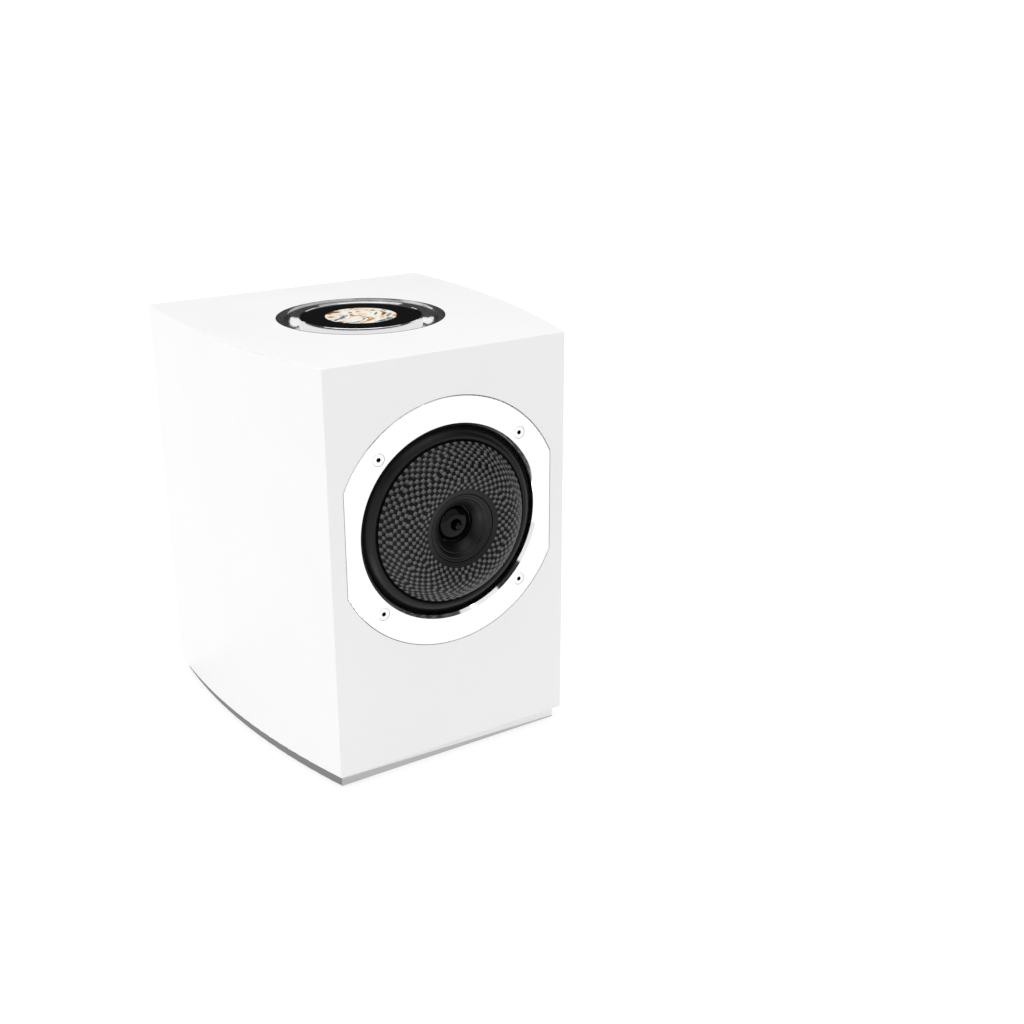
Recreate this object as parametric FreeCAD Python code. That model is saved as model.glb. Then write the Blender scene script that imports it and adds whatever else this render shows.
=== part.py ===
import FreeCAD, Part
import math
import os

# Active bookshelf speaker with a coaxial driver and a volume ring on top.
# Millimetres. +Z is up, the front faces -Y, the origin is under the middle of the object's box.

# ---- driving dimensions: cabinet ----
FRONT_WIDTH = 190.0
WIDEST = 243.2
WIDEST_BEHIND_FRONT = 184.0
CABINET_DEPTH = 252.0
CABINET_HEIGHT = 298.0
EDGE_RADIUS = 1.0
FRONT_WALL = 22.0
REAR_WALL = 22.0
SIDE_WALL = 15.0
TOP_WALL = 18.0
BOTTOM_WALL = 15.0
BRACE_WALL = 12.0
FOOT_HEIGHT = 1.0
FOOT_RADIUS = 9.0
FOOT_SEAT_DEPTH = 1.5
FOOT_FROM_END = 24.0
FOOT_FROM_SIDE = 22.0
PLINTH_HEIGHT = 10.5
PLINTH_INSET_SIDE = 5.0
PLINTH_INSET_END = 6.0

# ---- driving dimensions: coaxial driver, radii from its axis ----
DRIVER_ABOVE_CABINET_BASE = 173.9
RING_RADIUS = 91.5
RING_HALF_FLAT = 83.2
RING_BORE = 70.0
RING_BORE_CHAMFER = 2.0
RING_DEPTH = 8.0
RING_GAP = 0.4
SCREW_SPACING = 56.3
MEMBRANE_OUTER = 58.8
MEMBRANE_INNER = 28.5
MEMBRANE_WALL = 0.8
# the membrane's face rises in front of the baffle as a cubic of s, 0 at its inner edge and 1 at its outer
MEMBRANE_RISE = (14.8, 14.8, -25.5, -4.1)
SURROUND_OUTER = 73.8
SURROUND_WALL = 1.0
COIL_RADIUS = 31.0
WAVEGUIDE_RADIUS = 24.6
WAVEGUIDE_FRONT = -13.7
WAVEGUIDE_STEP_RADIUS = 19.2
THROAT_RADIUS = 13.5
DOME_INNER = 4.2
DOME_OUTER = 13.0
PHASE_TIP_RADIUS = 2.6
MOTOR_FRONT = 50.0

# ---- driving dimensions: dial in the top, radii from its axis ----
DIAL_BEHIND_FRONT = 126.8
TROUGH_RADIUS = 62.6
TROUGH_DEPTH = 18.0
RING_OUTER = 45.8
GLASS_RADIUS = 44.2
HUB_RADIUS = 36.0
COVE_RADIUS = 13.2
PANEL_RADIUS = 29.6
BEARING_CLEARANCE = 0.05
BEZEL_PROUD = 0.4

# ---- driving dimensions: rear ----
RECESS_WIDTH = 160.0
RECESS_BOTTOM = 34.0
RECESS_HEIGHT = 150.0
RECESS_DEPTH = 12.0
PLATE_WALL = 3.0
PLATE_LEDGE = 6.0
PORT_RADIUS = 25.0
PORT_WALL = 3.0
PORT_FLARE = 38.0
PORT_LENGTH = 100.0
PORT_Z = 245.0
PLATE_SCREW_HEAD = 2.8
PLATE_SCREW_SHANK = 1.2
JACK_RADIUS = 4.15
JACK_PROUD = 9.0

# ---- worked out ----
_, SLOPE, BEND, TWIST = MEMBRANE_RISE
CREST_S = (-BEND - math.sqrt(BEND**2 - 3 * SLOPE * TWIST)) / (3 * TWIST)
CREST = sum(c * CREST_S**power for power, c in enumerate(MEMBRANE_RISE))
FRONT = -(CABINET_DEPTH + CREST) / 2 + CREST
BACK = FRONT + CABINET_DEPTH
BASE = FOOT_HEIGHT + PLINTH_HEIGHT
TOP = BASE + CABINET_HEIGHT
DRIVER_Z = BASE + DRIVER_ABOVE_CABINET_BASE
DIAL_Y = FRONT + DIAL_BEHIND_FRONT
BULGE = (WIDEST - FRONT_WIDTH) / 2
SIDE_RADIUS = (BULGE**2 + WIDEST_BEHIND_FRONT**2) / (2 * BULGE)
PLATE_Y = BACK - RECESS_DEPTH
PLATE_Z = RECESS_BOTTOM + RECESS_HEIGHT / 2

V = FreeCAD.Vector
X_AXIS = V(1, 0, 0)
Y_AXIS = V(0, 1, 0)
Z_AXIS = V(0, 0, 1)

NODES = {}


def add(name, *solids):
    """Stores one named piece, as one solid or as a group of separate equal ones."""
    NODES[name] = solids[0] if len(solids) == 1 else Part.makeCompound(list(solids))


def cut(shape, *tools):
    return shape.cut(list(tools)).removeSplitter()


def fuse(shape, *others):
    return shape.fuse(list(others)).removeSplitter()


def box(x0, y0, z0, x1, y1, z1):
    return Part.makeBox(x1 - x0, y1 - y0, z1 - z0, V(x0, y0, z0))


def outline(points):
    """A closed face: two numbers go straight to a point, four go round an arc through the first two."""
    here = V(*points[0], 0)
    edges = []
    for step in points[1:] + [points[0]]:
        there = V(*step[-2:], 0)
        if len(step) == 2:
            edges.append(Part.LineSegment(here, there).toShape())
        else:
            edges.append(Part.Arc(here, V(*step[:2], 0), there).toShape())
        here = there
    return Part.Face(Part.Wire(edges))


def turned_z(points):
    """A solid turned about the dial's upright axis: points are radius and height from the top."""
    face = outline(points)
    face.rotate(V(0, 0, 0), X_AXIS, 90)
    face.translate(V(0, DIAL_Y, TOP))
    return face.revolve(V(0, DIAL_Y, 0), Z_AXIS, 360)


def place_on_driver_axis(face):
    face.translate(V(0, FRONT, DRIVER_Z))
    return face.revolve(V(0, 0, DRIVER_Z), Y_AXIS, 360)


def turned_y(points):
    """A solid turned about the driver's axis: points are radius and depth behind the baffle."""
    return place_on_driver_axis(outline(points))


def rod_y(radius, x, z, y0, y1):
    return Part.makeCylinder(radius, y1 - y0, V(x, y0, z), Y_AXIS)


def rod_x(radius, y, z, x0, x1):
    return Part.makeCylinder(radius, x1 - x0, V(x0, y, z), X_AXIS)


def rod_z(radius, x, y, z0, z1):
    return Part.makeCylinder(radius, z1 - z0, V(x, y, z0), Z_AXIS)


def ring_y(outer, inner, z, y0, y1, x=0.0):
    return cut(rod_y(outer, x, z, y0, y1), rod_y(inner, x, z, y0 - 1, y1 + 1))


def hex_y(across_flats, x, z, y0, y1):
    """A six-sided bar along Y."""
    radius = across_flats / math.sqrt(3)
    corners = [V(x + radius * math.cos(math.radians(60 * k)), y0,
                 z + radius * math.sin(math.radians(60 * k))) for k in range(6)]
    return Part.Face(Part.makePolygon(corners + corners[:1])).extrude(V(0, y1 - y0, 0))


def hex_z(across_flats, x, y, z0, z1):
    radius = across_flats / math.sqrt(3)
    corners = [V(x + radius * math.cos(math.radians(60 * k)),
                 y + radius * math.sin(math.radians(60 * k)), z0) for k in range(6)]
    return Part.Face(Part.makePolygon(corners + corners[:1])).extrude(V(0, 0, z1 - z0))


# ---- cabinet ----

def half_width(y, inset=0.0):
    """Half the cabinet's width at a depth: each side is one arc, widest towards the back."""
    behind_widest = y - (FRONT + WIDEST_BEHIND_FRONT)
    radius = SIDE_RADIUS - inset
    return WIDEST / 2 - SIDE_RADIUS + math.sqrt(radius**2 - behind_widest**2)


def plan_prism(y0, y1, z0, z1, inset=0.0):
    """The cabinet's plan between two depths, raised between two heights."""
    middle = (y0 + y1) / 2
    a = half_width(y0, inset)
    m = half_width(middle, inset)
    b = half_width(y1, inset)
    edges = [
        Part.LineSegment(V(-a, y0, z0), V(a, y0, z0)).toShape(),
        Part.Arc(V(a, y0, z0), V(m, middle, z0), V(b, y1, z0)).toShape(),
        Part.LineSegment(V(b, y1, z0), V(-b, y1, z0)).toShape(),
        Part.Arc(V(-b, y1, z0), V(-m, middle, z0), V(-a, y0, z0)).toShape(),
    ]
    return Part.Face(Part.Wire(edges)).extrude(V(0, 0, z1 - z0))


def ring_outline(grow, y0, y1):
    """The driver's outline: a circle with a flat at each side."""
    disc = rod_y(RING_RADIUS + grow, 0, DRIVER_Z, y0, y1)
    side = RING_HALF_FLAT + grow
    return disc.common(box(-side, y0, DRIVER_Z - 120, side, y1, DRIVER_Z + 120))


def screw_places():
    return [(sx * SCREW_SPACING, DRIVER_Z + sz * SCREW_SPACING) for sx in (-1, 1) for sz in (-1, 1)]


BASKET_FLANGE = 3.0
GASKET_WALL = 1.5
BAFFLE_HOLE = 79.0
INSERT_RADIUS = 3.5
PIN_RADIUS = 2.0
LEAD_RADIUS = 1.2
HEX_SOCKET = 3.0
PLINTH_SCREW_CORE = 1.6
PLINTH_SCREW_REACH = 12.0
CLAMP_SCREWS_INNER = 54.0
CLAMP_SCREWS_OUTER = 69.0
HUB_SCREWS = 33.0
CLAMP_SCREW_CORE = 1.0
BRACE_Y = 8.0
BRACE_TOP = 285.0
BRACE_HOLE_RADIUS = 40.0
PORT_LIP = 3.0
RECESS_TOP = RECESS_BOTTOM + RECESS_HEIGHT


def cabinet_panels():
    """Six panels cut from one rounded block, so their outer faces run on without a step."""
    whole = plan_prism(FRONT, BACK, BASE, TOP)
    whole = whole.makeFillet(EDGE_RADIUS, whole.Edges)
    room = 130.0
    inner_front = FRONT + FRONT_WALL
    inner_back = BACK - REAR_WALL
    inner_base = BASE + BOTTOM_WALL
    inner_top = TOP - TOP_WALL
    hollow = plan_prism(inner_front, inner_back, inner_base, inner_top, SIDE_WALL)

    pocket_end = FRONT + RING_DEPTH + BASKET_FLANGE + GASKET_WALL
    front = whole.common(box(-room, FRONT - 1, 0, room, inner_front, TOP + 1))
    insert_holes = [rod_y(INSERT_RADIUS, x, z, FRONT, inner_front + 1) for x, z in screw_places()]
    front = cut(front, ring_outline(RING_GAP, FRONT - 1, pocket_end),
                rod_y(BAFFLE_HOLE, 0, DRIVER_Z, FRONT - 1, inner_front + 1), *insert_holes)
    add("front_baffle", front)

    half = RECESS_WIDTH / 2
    rear = whole.common(box(-room, inner_back, 0, room, BACK + 1, TOP + 1))
    recess = box(-half, PLATE_Y - PLATE_WALL, RECESS_BOTTOM, half, BACK + 1, RECESS_TOP)
    window = box(-half + PLATE_LEDGE, inner_back - 1, RECESS_BOTTOM + PLATE_LEDGE,
                 half - PLATE_LEDGE, BACK, RECESS_TOP - PLATE_LEDGE)
    flare_seat = rod_y(PORT_FLARE + 0.2, 0, PORT_Z, BACK - PORT_LIP, BACK + 1)
    port_hole = rod_y(PORT_RADIUS + PORT_WALL + 0.2, 0, PORT_Z, inner_back - 1, BACK)
    bores = [rod_y(PLATE_SCREW_SHANK, x, z, inner_back + 1, PLATE_Y) for x, z in plate_screw_places()]
    add("rear_baffle", cut(rear, recess, window, flare_seat, port_hole, *bores))

    middle = whole.common(box(-room, inner_front, 0, room, inner_back, TOP + 1))
    top = middle.common(box(-room, inner_front, inner_top, room, inner_back, TOP + 1))
    top = cut(top, rod_z(TROUGH_RADIUS + 0.1, 0, DIAL_Y, inner_top - 1, TOP + 1),
              *[rod_z(CLAMP_SCREW_CORE, x, y, inner_top - 1, inner_top + 12)
                for x, y in clamp_places(CLAMP_SCREWS_OUTER)])
    add("top_panel", top)

    base = middle.common(box(-room, inner_front, 0, room, inner_back, inner_base))
    base = cut(base, *[rod_z(PLINTH_SCREW_CORE, x, y, BASE - 1, BASE + PLINTH_SCREW_REACH)
                       for x, y in plinth_screw_places()])
    add("bottom_panel", base)

    walls = middle.common(box(-room, inner_front, inner_base, room, inner_back, inner_top))
    walls = cut(walls, hollow)
    add("left_side_panel", walls.common(box(-room, FRONT, 0, 0, BACK, TOP)))
    add("right_side_panel", walls.common(box(0, FRONT, 0, room, BACK, TOP)))

    brace_back = BRACE_Y + BRACE_WALL
    brace = plan_prism(BRACE_Y, brace_back, inner_base, BRACE_TOP, SIDE_WALL)
    windows = [rod_y(BRACE_HOLE_RADIUS, x, z, BRACE_Y - 1, brace_back + 1)
               for x in (-46, 46) for z in (82, 182)]
    slot = box(-60, BRACE_Y - 1, 238, 60, brace_back + 1, 270)
    add("window_brace", cut(brace, slot, *windows))


def plinth_screw_places():
    return [(sx * 70.0, y) for sx in (-1, 1) for y in (FRONT + 45, BACK - 45)]


def plinth():
    screw_head = 4.2
    head_top = FOOT_HEIGHT + 4
    socket_depth = 2.0
    plate = plan_prism(FRONT + PLINTH_INSET_END, BACK - PLINTH_INSET_END, FOOT_HEIGHT, BASE,
                       PLINTH_INSET_SIDE)
    long_edges = [e for e in plate.Edges if abs(e.BoundBox.ZLength) < 0.01]
    plate = plate.makeFillet(0.5, long_edges)
    holes = []
    screws = []
    for x, y in plinth_screw_places():
        holes.append(rod_z(screw_head + 0.3, x, y, 0, head_top))
        holes.append(rod_z(PIN_RADIUS + 0.2, x, y, 0, BASE + 1))
        head = rod_z(screw_head, x, y, FOOT_HEIGHT + 0.6, head_top)
        head = cut(head, hex_z(HEX_SOCKET, x, y, FOOT_HEIGHT, FOOT_HEIGHT + 0.6 + socket_depth))
        screws.append(fuse(head, rod_z(PLINTH_SCREW_CORE, x, y, head_top, BASE + PLINTH_SCREW_REACH)))
    feet = []
    seats = []
    seat_top = FOOT_HEIGHT + FOOT_SEAT_DEPTH
    for sx in (-1, 1):
        for y in (FRONT + FOOT_FROM_END, BACK - FOOT_FROM_END):
            x = sx * (half_width(y) - FOOT_FROM_SIDE)
            feet.append(rod_z(FOOT_RADIUS, x, y, 0, seat_top))
            seats.append(rod_z(FOOT_RADIUS + 0.1, x, y, 0, seat_top))
    add("plinth_plate", cut(plate, *holes, *seats))
    add("plinth_screws", *screws)
    add("rubber_feet", *[f.makeFillet(0.4, f.Edges[2]) for f in feet])


def wadding():
    """A slab of damping felt against each side wall, inside the cabinet."""
    y0 = 30.0
    y1 = 92.0
    top = 270.0
    felt_thickness = 14.0
    reach = 130.0
    outer_inset = SIDE_WALL + 1
    outer = plan_prism(y0, y1, BASE + BOTTOM_WALL + 4, top, outer_inset)
    inner = plan_prism(y0 - 1, y1 + 1, BASE, top + 1, outer_inset + felt_thickness)
    both = outer.cut(inner)
    slabs = [both.common(box(x0, y0, 0, x0 + reach, y1, TOP)) for x0 in (-reach, 0)]
    add("acoustic_wadding", *slabs)


# ---- coaxial driver ----

SCREW_HEAD_RADIUS = 4.45
SCREW_HEAD_DEPTH = 4.0
SCREW_SOCKET_DEPTH = 2.6
SCREW_LENGTH = 21.5
BASKET_LEGS = 6
SPIDER_DEPTH = 40.5
SPIDER_LEDGE = 50.5
SPIDER_WALL = 0.5
TERMINAL_X = 68.0
TERMINAL_Y = FRONT + 42


def driver_mounting():
    ring = ring_outline(0, FRONT, FRONT + RING_DEPTH)
    ring = ring.makeFillet(0.5, [e for e in ring.Edges if e.BoundBox.YMax < FRONT + 0.01])
    chamfer = Part.makeCone(RING_BORE + RING_BORE_CHAMFER, RING_BORE, RING_BORE_CHAMFER,
                            V(0, FRONT, DRIVER_Z), Y_AXIS)
    ring = cut(ring, rod_y(RING_BORE, 0, DRIVER_Z, FRONT - 1, FRONT + RING_DEPTH + 1), chamfer)
    flange = ring_outline(-0.5, FRONT + RING_DEPTH, FRONT + RING_DEPTH + BASKET_FLANGE)
    gasket = ring_outline(-1.0, FRONT + RING_DEPTH + BASKET_FLANGE,
                          FRONT + RING_DEPTH + BASKET_FLANGE + GASKET_WALL)
    head_holes = []
    shank_holes = []
    screws = []
    inserts = []
    insert_start = FRONT + RING_DEPTH + BASKET_FLANGE + GASKET_WALL
    for x, z in screw_places():
        head_holes.append(rod_y(SCREW_HEAD_RADIUS + 0.1, x, z, FRONT - 1, FRONT + SCREW_HEAD_DEPTH))
        shank_holes.append(rod_y(PIN_RADIUS + 0.2, x, z, FRONT - 1, FRONT + 14))
        head = rod_y(SCREW_HEAD_RADIUS, x, z, FRONT + 0.1, FRONT + SCREW_HEAD_DEPTH)
        head = head.makeFillet(0.3, [e for e in head.Edges if e.BoundBox.YMax < FRONT + 0.2])
        head = cut(head, hex_y(HEX_SOCKET, x, z, FRONT - 1, FRONT + SCREW_SOCKET_DEPTH))
        screws.append(fuse(head, rod_y(PIN_RADIUS, x, z, FRONT + SCREW_HEAD_DEPTH, FRONT + SCREW_LENGTH)))
        inserts.append(ring_y(INSERT_RADIUS, PIN_RADIUS, z, insert_start, FRONT + FRONT_WALL, x))
    add("driver_trim_ring", cut(ring, *head_holes, *shank_holes))
    add("driver_screws", *screws)
    add("threaded_inserts", *inserts)

    lip_seat = rod_y(SURROUND_OUTER + 0.2, 0, DRIVER_Z, FRONT + RING_DEPTH - 1,
                     FRONT + RING_DEPTH + SURROUND_WALL)
    bore = rod_y(RING_BORE, 0, DRIVER_Z, FRONT, FRONT + 20)
    flange_back = RING_DEPTH + BASKET_FLANGE
    shell = turned_y([
        (77.5, flange_back), (RING_BORE, flange_back), (55.5, 39), (55.5, SPIDER_DEPTH),
        (SPIDER_LEDGE, SPIDER_DEPTH), (SPIDER_LEDGE, 46), (36, 46), (36, MOTOR_FRONT), (58, MOTOR_FRONT),
        (60, 46), (77.5, 14)])
    windows = []
    for k in range(BASKET_LEGS):
        window = box(-22, FRONT + 16, DRIVER_Z + 48, 22, FRONT + 38, DRIVER_Z + 90)
        window.rotate(V(0, 0, DRIVER_Z), Y_AXIS, 360 / BASKET_LEGS * k)
        windows.append(window)
    strip = box(58, TERMINAL_Y, DRIVER_Z - 9, TERMINAL_X, TERMINAL_Y + 7, DRIVER_Z + 9)
    basket = fuse(flange, shell, strip)
    insert_room = [rod_y(INSERT_RADIUS + 0.3, x, z, insert_start - GASKET_WALL, FRONT + FRONT_WALL + 2)
                   for x, z in screw_places()]
    add("driver_basket", cut(basket, lip_seat, bore, *windows, *shank_holes, *insert_room))
    hole = rod_y(BAFFLE_HOLE, 0, DRIVER_Z, FRONT, FRONT + 30)
    add("driver_gasket", cut(gasket, hole, *shank_holes))


def motor():
    """The woofer's motor behind the basket: plates and magnet leave a ring-shaped gap for the coil."""
    gap_outer = COIL_RADIUS + 2.6
    gap_inner = COIL_RADIUS - 1.0
    plate_radius = 58.0
    magnet_outer = 60.0
    magnet_inner = 38.0
    stem = 9.0
    plate_back = MOTOR_FRONT + 8.0
    magnet_back = plate_back + 20.0
    motor_back = magnet_back + 8.0
    pole_front = MOTOR_FRONT - 2.0
    add("front_pole_plate", ring_y(plate_radius, gap_outer, DRIVER_Z, FRONT + MOTOR_FRONT,
                                   FRONT + plate_back))
    add("ferrite_magnet", ring_y(magnet_outer, magnet_inner, DRIVER_Z, FRONT + plate_back,
                                 FRONT + magnet_back))
    add("rear_pole_piece", turned_y([
        (stem, pole_front), (gap_inner, pole_front), (gap_inner, magnet_back), (plate_radius, magnet_back),
        (plate_radius, motor_back), (stem, motor_back)]))
    former_front = 6.0
    former_wall = 0.5
    winding = 1.4
    former_outer = COIL_RADIUS + former_wall
    add("voice_coil_former", ring_y(former_outer, COIL_RADIUS, DRIVER_Z, FRONT - former_front, FRONT + 62))
    add("voice_coil", ring_y(former_outer + winding, former_outer, DRIVER_Z, FRONT + 47, FRONT + 61))


def spider():
    """A folded cloth disc seen edge on: waves along the radius, then a flat lip on the basket's ledge."""
    waves = 5
    height = 2.2
    start = COIL_RADIUS + 0.5
    step = (SPIDER_LEDGE - 0.5 - start) / (2 * waves)
    front = [(start + k * step, SPIDER_DEPTH - SPIDER_WALL + (height if k % 2 else 0.0))
             for k in range(2 * waves + 1)]
    front.append((55.0, SPIDER_DEPTH - SPIDER_WALL))
    rear = [(r, y + SPIDER_WALL) for r, y in reversed(front)]
    add("spider", turned_y(front + rear))


def membrane_rise(s):
    """Height in front of the baffle, from the inner edge, s = 0, to the outer, s = 1."""
    return sum(c * s**power for power, c in enumerate(MEMBRANE_RISE))


def membrane():
    spans = 12
    span = MEMBRANE_OUTER - MEMBRANE_INNER
    front = [V(MEMBRANE_INNER + span * k / spans, -membrane_rise(k / spans), 0) for k in range(spans + 1)]
    rear = [V(p.x - 0.3 * k / spans, p.y + MEMBRANE_WALL, 0) for k, p in enumerate(front)]
    face_curve = Part.BSplineCurve()
    face_curve.interpolate(front)
    rear_curve = Part.BSplineCurve()
    rear_curve.interpolate(rear[::-1])
    edges = [
        face_curve.toShape(),
        Part.LineSegment(front[-1], rear[-1]).toShape(),
        rear_curve.toShape(),
        Part.LineSegment(rear[0], front[0]).toShape(),
    ]
    skin = place_on_driver_axis(Part.Face(Part.Wire(edges)))
    add("woofer_membrane", skin)
    # the seal ring closes the gap to the fixed waveguide and carries the coil former's front end
    seal_inner = WAVEGUIDE_RADIUS + 0.4
    seal_outer = MEMBRANE_INNER - 0.1
    add("membrane_seal_ring", turned_y([
        (seal_inner, WAVEGUIDE_FRONT), (seal_outer, -MEMBRANE_RISE[0]), (seal_outer, -12.0),
        (COIL_RADIUS + 0.5, -6.0), (COIL_RADIUS - 1.0, -6.0), (seal_inner, -11.0)]))
    lip = RING_DEPTH
    add("membrane_surround", turned_y([
        (SURROUND_OUTER, lip), (69.6, lip), (64.9, 0.4, 59.4, 1.6), (57.4, 1.6), (57.4, 2.5), (59.4, 2.5),
        (64.9, 1.4, 68.6, lip + SURROUND_WALL), (SURROUND_OUTER, lip + SURROUND_WALL)]))


def tweeter():
    """The tweeter on a fixed stem through the woofer's pole, with its horn in the membrane's middle."""
    r = WAVEGUIDE_RADIUS
    step = WAVEGUIDE_STEP_RADIUS
    seat = 1.0
    add("tweeter_waveguide", turned_y([
        (r, WAVEGUIDE_FRONT), (22.2, -13.0, 19.6, -11.4), (step, -11.0), (step, -10.6),
        (16.2, -8.2, THROAT_RADIUS, -4.2), (THROAT_RADIUS, seat), (r - 3.0, seat), (r - 3.0, -6.0),
        (r, -6.0)]))
    add("tweeter_dome", turned_y([
        (DOME_INNER, -3.2), (8.0, -5.4, 12.0, -1.0), (DOME_OUTER, -0.6), (DOME_OUTER, -0.2), (11.8, -0.4),
        (7.9, -4.9, DOME_INNER, -2.7)]))
    add("tweeter_voice_coil", ring_y(11.6, 11.1, DRIVER_Z, FRONT - 0.9, FRONT + 5.2))
    cup_radius = 19.5
    cup_back = 14.0
    cup_floor = 11.0
    gap_outer = 12.2
    magnet_radius = 10.6
    bore = PHASE_TIP_RADIUS + 0.4
    add("tweeter_cup", turned_y([
        (13.2, seat), (cup_radius, seat), (cup_radius, cup_back), (bore, cup_back), (bore, cup_floor),
        (gap_outer, cup_floor), (gap_outer, 4.0), (13.2, 4.0)]))
    add("tweeter_magnet", turned_y([(bore, 2.5), (magnet_radius, 2.5), (magnet_radius, cup_floor),
                                    (bore, cup_floor)]))
    tip = PHASE_TIP_RADIUS
    add("tweeter_phase_tip", turned_y([
        (0, -9.9), (2.3, -9.2, 3.1, -7.4), (tip, -2.0), (tip, cup_back), (0, cup_back)]))
    stem = 8.8
    add("tweeter_stem", turned_y([
        (0, cup_back), (cup_radius, cup_back), (cup_radius, 20), (stem, 26), (stem, 88), (0, 88)]))


# ---- dial ----

BOARD_WALL = 1.6


def clamp_places(radius):
    return [(radius * math.cos(math.radians(a)), DIAL_Y + radius * math.sin(math.radians(a)))
            for a in (45, 135, 225, 315)]


def dial():
    under = -TROUGH_DEPTH
    floor = under + 2.5
    cove = COVE_RADIUS
    rim = TROUGH_RADIUS - 0.9
    lip = RING_OUTER + 0.6
    bend = cove * math.sqrt(0.5)
    trough = turned_z([
        (8, under), (TROUGH_RADIUS, under), (TROUGH_RADIUS, 0), (rim, 0),
        (rim - cove + bend, -bend, rim - cove, -cove), (lip, -cove), (lip, floor), (8, floor)])
    trough = cut(trough,
                 *[rod_z(CLAMP_SCREW_CORE, x, y, TOP + under - 1, TOP + under + 6)
                   for x, y in clamp_places(CLAMP_SCREWS_INNER)],
                 *[rod_z(1.6, x, y, TOP + under - 1, TOP) for x, y in clamp_places(HUB_SCREWS)])
    add("dial_trough", trough)

    clamp = turned_z([(45, under - 2), (75, under - 2), (75, under), (45, under)])
    clamp_screws = []
    for radius in (CLAMP_SCREWS_INNER, CLAMP_SCREWS_OUTER):
        for x, y in clamp_places(radius):
            clamp = clamp.cut(rod_z(1.2, x, y, TOP + under - 3, TOP + under + 1))
            clamp_screws.append(fuse(rod_z(2.5, x, y, TOP + under - 4, TOP + under - 2),
                                     rod_z(CLAMP_SCREW_CORE, x, y, TOP + under - 2, TOP + under + 5)))
    add("dial_clamp_ring", clamp)

    glass_floor = -1.9
    hub_flange = -4.5
    seat = GLASS_RADIUS - 0.1
    hub = turned_z([(30, floor), (HUB_RADIUS, floor), (HUB_RADIUS, hub_flange), (seat, hub_flange),
                    (seat, glass_floor), (30, glass_floor)])
    hub_bores = [rod_z(1.3, x, y, TOP + floor - 1, TOP + floor + 7) for x, y in clamp_places(HUB_SCREWS)]
    add("dial_hub", cut(hub, *hub_bores))
    hub_screws = [fuse(rod_z(2.6, x, y, TOP + under - 2, TOP + under),
                       rod_z(1.3, x, y, TOP + under, TOP + floor + 6)) for x, y in clamp_places(HUB_SCREWS)]
    add("dial_screws", *clamp_screws, *hub_screws)
    bearing_outer = 38.95
    retainer_outer = 41.0
    add("dial_bearing", turned_z([(HUB_RADIUS, -12.4), (bearing_outer, -12.4), (bearing_outer, -7.4),
                                  (HUB_RADIUS, -7.4)]))
    add("ring_retainer", turned_z([(HUB_RADIUS, -13.6), (retainer_outer, -13.6), (retainer_outer, -12.6),
                                   (HUB_RADIUS, -12.6)]))
    bore = bearing_outer + BEARING_CLEARANCE
    wall = GLASS_RADIUS + 0.3
    web_low = -12.2
    web_high = -8.0
    drum_low = -14.6
    drum_high = -1.6
    add("volume_ring", turned_z([(bore, web_low), (wall, web_low), (wall, drum_low), (RING_OUTER, drum_low),
                                 (RING_OUTER, drum_high), (wall, drum_high), (wall, web_high),
                                 (bore, web_high)]))
    bezel_edge = 0.3
    bezel = turned_z([(wall, drum_high), (RING_OUTER, drum_high), (RING_OUTER, BEZEL_PROUD - bezel_edge),
                      (RING_OUTER - bezel_edge, BEZEL_PROUD), (wall + bezel_edge, BEZEL_PROUD),
                      (wall, BEZEL_PROUD - bezel_edge)])
    add("ring_bezel", bezel)
    add("encoder_magnet_ring", turned_z([(39.8, web_high), (43.0, web_high), (43.0, web_high + 1.4),
                                         (39.8, web_high + 1.4)]))
    add("display_glass", turned_z([(0, glass_floor), (GLASS_RADIUS, glass_floor), (GLASS_RADIUS, -0.5),
                                   (GLASS_RADIUS - 0.4, -0.1), (0, -0.1)]))
    panel_floor = -5.0
    board_floor = panel_floor - BOARD_WALL
    add("display_panel", turned_z([(0, panel_floor), (PANEL_RADIUS, panel_floor), (PANEL_RADIUS, glass_floor),
                                   (0, glass_floor)]))
    board = turned_z([(0, board_floor), (PANEL_RADIUS, board_floor), (PANEL_RADIUS, panel_floor),
                      (0, panel_floor)])
    chip = box(-8, DIAL_Y - 8, TOP - 8.2, 8, DIAL_Y + 8, TOP - 6.6)
    plug = box(-6, DIAL_Y + 12, TOP - 10.6, 6, DIAL_Y + 18, TOP - 6.6)
    add("encoder_board", fuse(board, chip, plug))


# ---- rear ----

def plate_screw_places():
    half = RECESS_WIDTH / 2 - PLATE_LEDGE / 2
    rise = RECESS_HEIGHT / 2 - PLATE_LEDGE / 2
    corners = [(sx * half, PLATE_Z + sz * rise) for sx in (-1, 1) for sz in (-1, 1)]
    return corners + [(sx * half, PLATE_Z) for sx in (-1, 1)] + [(0, PLATE_Z + sz * rise) for sz in (-1, 1)]


INLET_X = -52.0
INLET_Z = 58.0
SWITCH_X = -14.0
RCA_PLACES = ((50.0, 50.0), (66.0, 50.0))
NETWORK_X = 22.0
USB_X = 22.0
SOCKET_LOW_Z = 50.0
SOCKET_HIGH_Z = 78.0
BUTTON_X = 58.0
BUTTON_RADIUS = 3.0
ROCKER_Y = PLATE_Y - 2.0
ROCKER_PIN = 1.0
ROCKER_THROW = 20.0
UPPER_BOARD_GAP = 14.0


def frame_y(x0, z0, x1, z1, wall, y0, y1):
    """A rectangular tube along Y, wall thick inside the given outline."""
    outer = box(x0, y0, z0, x1, y1, z1)
    return cut(outer, box(x0 + wall, y0 - 1, z0 + wall, x1 - wall, y1 + 1, z1 - wall))


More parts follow.
